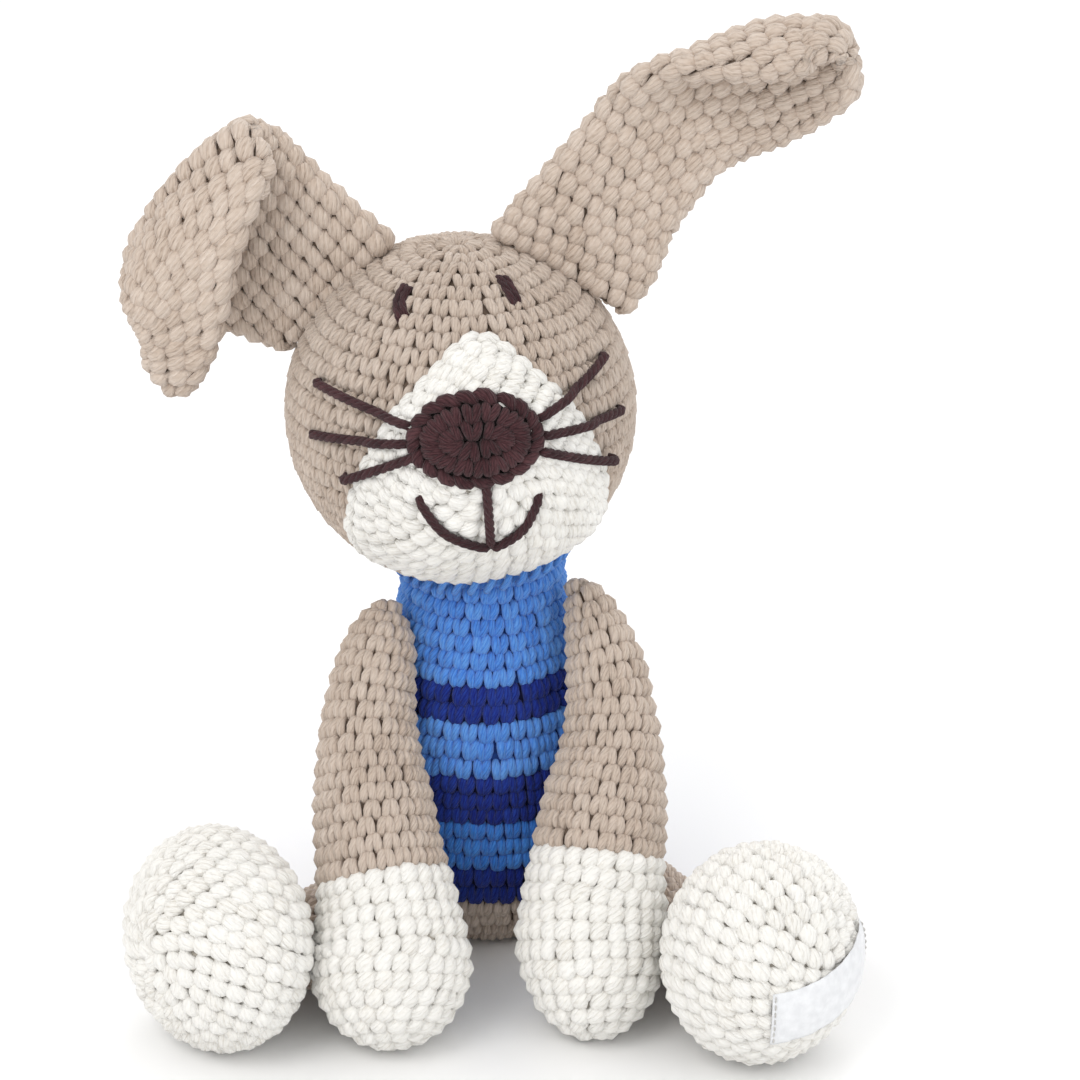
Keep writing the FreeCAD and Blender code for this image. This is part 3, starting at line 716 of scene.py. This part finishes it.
fabric = Fabric()
rows = rounds(muzzle, 1.5, muzzle.length - 1.0, 4.4)
crochet(fabric, muzzle, rows[:-1], "lobe", keep=clear_of_nose, lean=0.3)
crochet(fabric, muzzle, rows[-1:], "chain", keep=clear_of_nose, pitch=6.0, size=1.1)
fabric.backing(muzzle, 0, muzzle.length, 0.8, 1, columns=90)
finish_piece(fabric, "muzzle_crochet", "head", "yarn_white", ["muzzle"])


def nose_shape(f):
    core = (NOSE_W - NOSE_H) / 2
    spread = (NOSE_H / 2 - 0.6) * f
    return np.stack([(core + spread) * np.cos(ring), spread * np.sin(ring)], 1)


def nose_radius(f, xz):
    return HEAD_R + MUZZLE_T + NOSE_T * math.sqrt(max(1 - max(0.0, (f - 0.6) / 0.4) ** 2.4, 0.0)) - 0.5


nose = cap_skin(nose_shape, nose_radius, nose_axis, nose_side, nose_up)
fabric = Fabric()
rows = rounds(nose, 0.3, nose.length, 4.4)
crochet(fabric, nose, rows[:-1], "v", pitch=4.1, size=0.98)
crochet(fabric, nose, rows[-1:], "chain", pitch=4.6, size=1.1)
fabric.backing(nose, 0, nose.length, 0.8, 1)
finish_piece(fabric, "nose_crochet", "head", "yarn_brown", ["nose"])


def ply_strand(fabric, line, lift, ply_r, plies=3, pitch=7.0, offset=0.55, taper=2.0):
    """Twisted yarn laid along a line over the head; its ends go into the fabric."""
    line = even(np.asarray(line, float), max(len(line), 24))
    run = unit(np.gradient(line, axis=0))
    place = np.concatenate([[0], np.cumsum(np.linalg.norm(np.diff(line, axis=0), axis=1))])
    up = unit(line - HEAD_C)
    side = unit(np.cross(run, up))
    ends = np.minimum(place, place[-1] - place)
    sink = np.clip(1 - ends / taper, 0, 1) ** 2 * lift
    for k in range(plies):
        phase = 2 * math.pi * (place / pitch + k / plies)
        centre = line + (side * np.cos(phase)[:, None] + up * np.sin(phase)[:, None]) * offset
        centre = centre - up * sink[:, None]
        fabric.strands(centre[None], up[None], np.full(len(line), ply_r)[None],
                       rng.uniform(0, 1, 1), 0, 8)


def head_line(stops, base, edge=None, leave=None, count=40):
    """Line over the head through (azimuth, elevation) stops at a radius."""
    fine = refine([HEAD_C + direction(a, e) * base for a, e in stops], count // (len(stops) - 1))
    fine = HEAD_C + unit(fine - HEAD_C) * base
    if leave is not None:
        f = np.clip((np.linspace(0, 1, len(fine)) - leave[0]) / (leave[1] - leave[0]), 0, 1)
        lift = base + (edge - base) * f * f * (3 - 2 * f)
        fine = HEAD_C + unit(fine - HEAD_C) * lift[:, None]
    return fine


brown = [YARN["yarn_brown"]]
for name, (leave, stops) in WHISKERS.items():
    fabric = Fabric()
    line = head_line(stops, HEAD_R + MUZZLE_T + 1.5, HEAD_R + 1.6, leave)
    ply_strand(fabric, line, 3.0, 0.82, offset=0.62)
    finish_piece(fabric, name + "_yarn", "head", "yarn_brown", [name], brown)
for name, stops in MOUTH.items():
    fabric = Fabric()
    ply_strand(fabric, head_line(stops, HEAD_R + MUZZLE_T + 1.5), 3.0, 0.80, offset=0.6)
    finish_piece(fabric, name + "_yarn", "head", "yarn_brown", [name], brown)
for name, stops in EYES.items():
    fabric = Fabric()
    for shift, trim in [(-0.85, 0.08), (0.85, 0.0)]:
        line = head_line(stops, HEAD_R + 0.9)
        run = unit(np.gradient(line, axis=0))
        line = line + unit(np.cross(run, unit(line - HEAD_C))) * shift
        cut = int(len(line) * trim)
        line = line[cut:len(line) - cut]
        ply_strand(fabric, line, 2.6, 0.72, pitch=9.0, offset=0.45, taper=1.6)
    finish_piece(fabric, name + "_yarn", "head", "yarn_brown", [name], brown)

# ---------------------------------------------------------------------- neck
drop = math.sqrt(NECK_REACH ** 2 - HEAD_C[0] ** 2 - HEAD_C[1] ** 2)
neck_at = np.array([0, 0, HEAD_C[2] - drop])
neck_axis = unit(HEAD_C - neck_at)
fabric = Fabric()
e1 = unit(np.cross(neck_axis, (0, 1, 0)))
e2 = np.cross(neck_axis, e1)
for k in range(SEAM_STITCHES):
    a = 2 * math.pi * k / SEAM_STITCHES
    middle = neck_at + (e1 * math.cos(a) + e2 * math.sin(a)) * SEAM_R
    out = unit(middle - neck_at)
    around = unit(np.cross(neck_axis, out))
    f = np.linspace(-1, 1, 8)
    line = (middle + np.outer(f * 2.2, neck_axis) + np.outer(f * 1.5, around)
            + np.outer((1 - f ** 2) * 1.2 - 0.8, out))
    fabric.strands(line[None], np.broadcast_to(out, line.shape)[None], np.full((1, 8), 1.0),
                   rng.uniform(0, 1, 1), 0, 8)
finish_piece(fabric, "neck_seam_yarn", "neck", "yarn_sky", ["neck_seam"], [YARN["yarn_sky"]])


# ---------------------------------------------------------------------- ears
def sheet_loop(low_edge, across, facing, width, thick, roll):
    """Closed outline of a flat pressed tube whose upper edge rolls to the face."""
    steps = 200
    f = np.arange(steps + 1) / steps
    turn = math.radians(roll) * np.clip((f - ROLL_FROM) / ROLL_SPAN, 0, 1)
    x = np.concatenate([[0], np.cumsum(np.cos(turn))[:-1]]) * width / steps
    y = np.concatenate([[0], np.cumsum(np.sin(turn))[:-1]]) * width / steps
    margin = min(thick, width / 3)
    s = f * width
    inward = np.minimum(np.minimum(s, width - s), margin / 2) / (margin / 2)
    half = thick / 2 * np.sqrt(np.maximum(1 - (1 - inward) ** 2, 0))
    front = np.stack([x - np.sin(turn) * half, y + np.cos(turn) * half], 1)
    back = np.stack([x + np.sin(turn) * half, y - np.cos(turn) * half], 1)
    loop = np.concatenate([front, back[::-1]])
    loop = even(np.concatenate([loop, loop[:1]]), ACROSS + 1)[:-1]
    return low_edge + loop[:, :1] * across + loop[:, 1:] * facing


def rise(width, roll):
    """How far a section reaches across once its upper edge has rolled."""
    bend = math.radians(roll)
    if bend < 0.05:
        return width
    radius = ROLL_SPAN * width / bend
    top = ROLL_FROM * width + radius * math.sin(min(bend, math.pi / 2))
    return top + (1 - ROLL_FROM - ROLL_SPAN) * width * max(math.cos(bend), 0.0)


for side, ear in EARS.items():
    table = [[*low, *unit(across), width, thick, roll] for low, across, width, thick, roll in ear["rows"]]
    table = refine(table, 8)
    lows, acrosses = table[:, 0:3], unit(table[:, 3:6])
    middles = lows + acrosses * np.array([rise(w, r) / 2 for w, r in table[:, [6, 8]]])[:, None]
    runs = np.gradient(middles, axis=0)
    bows = refine(np.array(ear["bows"], float)[:, None], 8)[:, 0]
    loops = []
    mirror = None
    for row, low, across, run, bow in zip(table, lows, acrosses, runs, bows):
        run = unit(run - across * (run @ across))
        facing = np.cross(run, across)
        if mirror is None:
            mirror = 1.0 if facing[1] < 0 else -1.0
        loop = sheet_loop(low, across, facing * mirror, row[6], row[7], max(row[8], 0.0))
        share = np.clip((loop - low) @ across / row[6], 0, 1)[:, None]
        loops.append(loop + np.array(ear["bow"]) * bow * (1 - (2 * share - 1) ** 2 - 0.25))
    last = loops[-1]
    tip_run = unit(runs[-1])
    for f in (0.3, 0.55, 0.75, 0.9, 0.98):
        loops.append(last.mean(axis=0) + (last - last.mean(axis=0)) * math.sqrt(1 - f * f)
                     + tip_run * ear["end"] * f)
    loops = np.array(loops)
    skin = Skin(loops)
    fabric = Fabric()
    crochet(fabric, skin, rounds(skin, 0.5, skin.length - 1.0), "lobe", size=0.98, lean=0.38)
    fabric.backing(skin, 0, skin.length, 1.0, 1, columns=120)
    piece = finish_piece(fabric, "ear_%s_crochet" % side, None, "yarn_beige", [])
    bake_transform(piece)
    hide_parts("ear_%s_base" % side, "ear_%s_tip" % side)

# ---------------------------------------------------------------------- arms
for side, arm in ARMS.items():
    pivot, hand = np.array(arm["pivot"]), np.array(arm["hand"])
    run = unit(hand - pivot)
    points, radii, shares = [], [], []
    for f, x, radius in refine(arm["spine"], 8):
        at = pivot + (hand - pivot) * f
        points.append((x, at[1], at[2]))
        radii.append(radius)
    first = np.array(points[0])
    lead = [(first - run * radii[0] * 0.8 * f, radii[0] * math.sqrt(1 - f * f)) for f in (0.98, 0.8, 0.5)]
    tip_r = arm["spine"][-1][2] + 0.6
    for f in (0.0, 0.2, 0.4, 0.6, 0.75, 0.87, 0.95, 0.99, 0.9995):
        points.append(hand + run * (arm["cap"] * f))
        radii.append(tip_r * math.sqrt(1 - f * f))
    points = np.array([p for p, _ in lead] + points)
    radii = np.array([r for _, r in lead] + radii)
    skin = tube_skin(points, radii, (1, 0, 0))
    height = (skin.points.mean(axis=1) - pivot) @ run
    place = np.linspace(0, skin.length, skin.count)
    cuff = float(np.interp(arm["cuff"] * np.linalg.norm(hand - pivot), height, place))
    fabric = Fabric()
    turn = crochet(fabric, skin, rounds(skin, 0.5, cuff), "v", lean=0.08)
    fabric.backing(skin, 0, cuff, UNDER_DEPTH, 1)
    finish_piece(fabric, "arm_%s_sleeve_crochet" % side, "arm_%s" % side, "yarn_beige",
                 ["arm_%s_sleeve" % side, "arm_%s_stuffing" % side])
    fabric = Fabric()
    crochet(fabric, skin, rounds(skin, cuff, skin.length - 0.8), "lobe", start=turn, lean=0.25)
    fabric.backing(skin, cuff, skin.length, UNDER_DEPTH, 1)
    finish_piece(fabric, "arm_%s_hand_crochet" % side, "arm_%s" % side, "yarn_white",
                 ["arm_%s_hand" % side])

# ---------------------------------------------------------------------- legs
feet = {}
for side, leg in LEGS.items():
    hip, foot = np.array(leg["hip"]), np.array(leg["foot"])
    out = np.array([foot[0] - hip[0], foot[1] - hip[1], 0])
    distance = np.linalg.norm(out)
    out = unit(out)
    points = [hip - out * (LEG_R * f) for f in (0.97, 0.86, 0.64, 0.33)]
    radii = [LEG_R * math.sqrt(1 - f * f) for f in (0.97, 0.86, 0.64, 0.33)]
    for share, lift in refine(LEG_RUN, 8):
        points.append(hip + out * (share * distance) + np.array([0, 0, lift]))
        radii.append(LEG_R)
    skin = tube_skin(points, radii, (0, 0, 1))
    fabric = Fabric()
    crochet(fabric, skin, rounds(skin, 0.5, skin.length), "v", lean=0.06)
    fabric.backing(skin, 0, skin.length, UNDER_DEPTH, 1)
    finish_piece(fabric, "leg_%s_crochet" % side, "leg_%s" % side, "yarn_beige",
                 ["leg_%s_fabric" % side, "leg_%s_stuffing" % side])

    sole = direction(leg["side"] * leg["azimuth"], leg["tilt"])
    angle = np.linspace(0.015, math.pi - 0.04, 140)
    ball = tube_skin(foot + np.outer(np.cos(angle), sole) * leg["half_length"],
                     np.sin(angle) * leg["across"], (0, 0, 1))
    feet[side] = ball
    fabric = Fabric()
    crochet(fabric, ball, rounds(ball, 1.0, ball.length - 1.0), "lobe", lean=0.32)
    fabric.backing(ball, 0, ball.length, UNDER_DEPTH, 1, columns=80)
    finish_piece(fabric, "foot_%s_crochet" % side, "leg_%s" % side, "yarn_white",
                 ["foot_%s_fabric" % side, "foot_%s_stuffing" % side])

    fabric = Fabric()
    for k in range(6):
        a = math.pi * k / 6
        u = np.array([math.cos(a), math.sin(a), 0])
        w = np.linspace(0, 2 * math.pi, 20)
        tilt = unit(np.array([0.3 * math.sin(3 * a), 0.3 * math.cos(2 * a), 1.0]))
        line = hip + (np.outer(np.cos(w), u) + np.outer(np.sin(w), tilt)) * 2.7
        fabric.strands(line[None], unit(line - hip)[None], np.full((1, 20), 0.7),
                       rng.uniform(0, 1, 1), 0, 8)
    finish_piece(fabric, "hip_%s_knot_yarn" % side, "hip_%s" % side, "thread", ["hip_%s_knot" % side],
                 [YARN["yarn_white"]])


# --------------------------------------------------------------------- label
def satin():
    """Plain woven ribbon with a faint sheen."""
    material, tree, shader = new_material("ribbon")
    place, across, up = yarn_place(tree)
    warp = math_node(tree, "SINE", math_node(tree, "MULTIPLY", across, 2 * math.pi * 2.6))
    weft = math_node(tree, "SINE", math_node(tree, "MULTIPLY", up, 2 * math.pi * 2.6))
    weave = math_node(tree, "ADD", math_node(tree, "MULTIPLY", warp, 0.5),
                      math_node(tree, "MULTIPLY", weft, 0.3))
    noise = noise_of(tree, place, 0.35)
    bump_of(tree, shader, math_node(tree, "ADD", weave, noise), 0.35, 0.0002)
    colour_ramp(tree, noise, shader.inputs["Base Color"],
                (0.35, (0.76, 0.77, 0.79)), (0.7, (0.86, 0.87, 0.89)))
    rough = math_node(tree, "ADD", math_node(tree, "MULTIPLY", noise, 0.15), 0.35)
    tree.links.new(rough, shader.inputs["Roughness"])
    shader.inputs["Sheen Weight"].default_value = 0.3
    return material


leg = LEGS["left"]
foot = np.array(leg["foot"])
sole = direction(leg["azimuth"], leg["tilt"])
tilt = unit((0.02, -0.2, 0.98))


def on_foot(azimuth, height, stand):
    """Point of the left foot in this direction, at a height up the ribbon's tilt."""
    ahead = direction(azimuth, 0)
    ahead = unit(ahead - tilt * (ahead @ tilt))
    big, small = leg["across"] + stand, leg["half_length"] + stand
    a, b = ahead @ sole, tilt @ sole
    # |p|^2 / big^2 + (p.sole)^2 (1 / small^2 - 1 / big^2) = 1 along p = ahead r + tilt h
    k = 1 / small ** 2 - 1 / big ** 2
    qa = 1 / big ** 2 + k * a * a
    qb = 2 * k * a * b * height
    qc = height ** 2 / big ** 2 + k * (b * height) ** 2 - 1
    reach = (-qb + math.sqrt(qb * qb - 4 * qa * qc)) / (2 * qa)
    return foot + ahead * reach + tilt * height


columns, lines = 61, 23
front = np.zeros((lines, columns, 3))
for i in range(lines):
    for j in range(columns):
        height = LABEL_LOW + LABEL_W * i / (lines - 1)
        front[i, j] = on_foot(LABEL_FROM + LABEL_TURN * j / (columns - 1), height, LABEL_STAND)
width = np.linalg.norm(front[-1, 30] - front[0, 30])
length = np.linalg.norm(np.diff(front[lines // 2], axis=0), axis=1).sum()
normal = unit(np.cross(np.gradient(front, axis=1), np.gradient(front, axis=0)))
if (normal * (front - foot)).sum() < 0:
    normal = -normal
i, j = np.meshgrid(np.arange(lines), np.arange(columns), indexing="ij")
ripple = 0.10 * np.sin(j * 0.55) * np.cos(i * 0.4) + 0.06 * np.sin(j * 1.3 + i * 0.7)
outer = front + normal * (0.25 + ripple)[..., None]
inner = outer - normal * LABEL_T
fabric = Fabric()
i, j = np.meshgrid(np.arange(lines - 1), np.arange(columns - 1), indexing="ij")
quad = np.stack([i * columns + j, i * columns + j + 1,
                 (i + 1) * columns + j + 1, (i + 1) * columns + j], -1).reshape(-1, 4)
many = lines * columns
corner = np.stack([np.arange(many) % columns * length / columns,
                   np.arange(many) // columns * width / lines], -1)
corners = np.concatenate([corner, corner])
points = np.concatenate([outer.reshape(-1, 3), inner.reshape(-1, 3)])
edge = np.concatenate([np.arange(columns), np.arange(1, lines) * columns + columns - 1,
                       (lines - 1) * columns + np.arange(columns - 1)[::-1],
                       np.arange(1, lines - 1)[::-1] * columns])
after = np.roll(edge, -1)
rim = np.stack([edge, after, after + many, edge + many], -1)
faces = np.concatenate([quad, quad[:, ::-1] + many, rim[:, ::-1]])
fabric.add(points, faces, corners[faces], np.full(len(points), 0.5), 0)
label = finish_piece(fabric, "foot_label_ribbon", "leg_left", "ribbon", ["foot_label"], [satin()])

fabric = Fabric()
for j0 in (1, columns - 2):
    for k in range(7):
        i0 = 1 + k * 3
        a, b = outer[i0, j0], outer[min(i0 + 2, lines - 1), j0]
        up = normal[i0, j0]
        f = np.linspace(0, 1, 7)
        line = a + np.outer(f, b - a) + np.outer(np.sin(f * math.pi) * 0.5 - 0.15, up)
        fabric.strands(line[None], np.broadcast_to(up, line.shape)[None], np.full((1, 7), 0.22),
                       rng.uniform(0, 1, 1), 0, 6)
finish_piece(fabric, "label_thread", "leg_left", "thread", [], [YARN["yarn_white"]])


# --------------------------------------------------------- floor, light, eye
def stage_material():
    material, tree, shader = new_material("floor_paper")
    colour_ramp(tree, noise_of(tree, None, 3.0), shader.inputs["Base Color"],
                (0.0, (0.90, 0.90, 0.90)), (1.0, (0.94, 0.94, 0.94)))
    shader.inputs["Roughness"].default_value = 0.9
    return material


mesh = bpy.data.meshes.new("floor")
mesh.from_pydata([(-6, -6, 0), (6, -6, 0), (6, 6, 0), (-6, 6, 0)], [], [(0, 1, 2, 3)])
mesh.materials.append(stage_material())
floor = bpy.data.objects.new("floor", mesh)
bpy.context.scene.collection.objects.link(floor)

world = bpy.data.worlds.new("studio")
bpy.context.scene.world = world
world.use_nodes = True
background = world.node_tree.nodes["Background"]
background.inputs["Color"].default_value = (1.0, 1.0, 1.0, 1)
background.inputs["Strength"].default_value = 1.0


def area_light(name, place, target, size, power, colour=(1, 1, 1)):
    lamp = bpy.data.lights.new(name, "AREA")
    lamp.shape = "DISK"
    lamp.size = size
    lamp.energy = power
    lamp.color = colour
    light = bpy.data.objects.new(name, lamp)
    light.location = place
    light.rotation_euler = (Vector(target) - Vector(place)).to_track_quat("-Z", "Y").to_euler()
    bpy.context.scene.collection.objects.link(light)


area_light("key", (-0.55, -0.75, 1.15), (0, 0, 0.12), 0.7, 4.5, (1.0, 0.985, 0.96))
area_light("fill", (0.9, -0.7, 0.7), (0, 0, 0.12), 0.9, 1.5, (0.96, 0.98, 1.0))
area_light("back", (0.2, 0.9, 0.9), (0, 0, 0.15), 0.8, 3.0)

CAM_ELEV, CAM_DISTANCE, CAM_LENS = 24.0, 900.0, 103.4
target = np.array([16.5, 0, 119.0]) + SHIFT
lift = math.radians(CAM_ELEV)
eye = target + np.array([0, -math.cos(lift), math.sin(lift)]) * CAM_DISTANCE
lens = bpy.data.cameras.new("eye")
lens.sensor_width = 36.0
lens.lens = CAM_LENS
lens.clip_start = 0.01
camera = bpy.data.objects.new("eye", lens)
camera.location = eye * 0.001
camera.rotation_euler = (math.radians(90 - CAM_ELEV), 0, 0)
bpy.context.scene.collection.objects.link(camera)
bpy.context.scene.camera = camera
bpy.context.scene.view_settings.view_transform = "Standard"
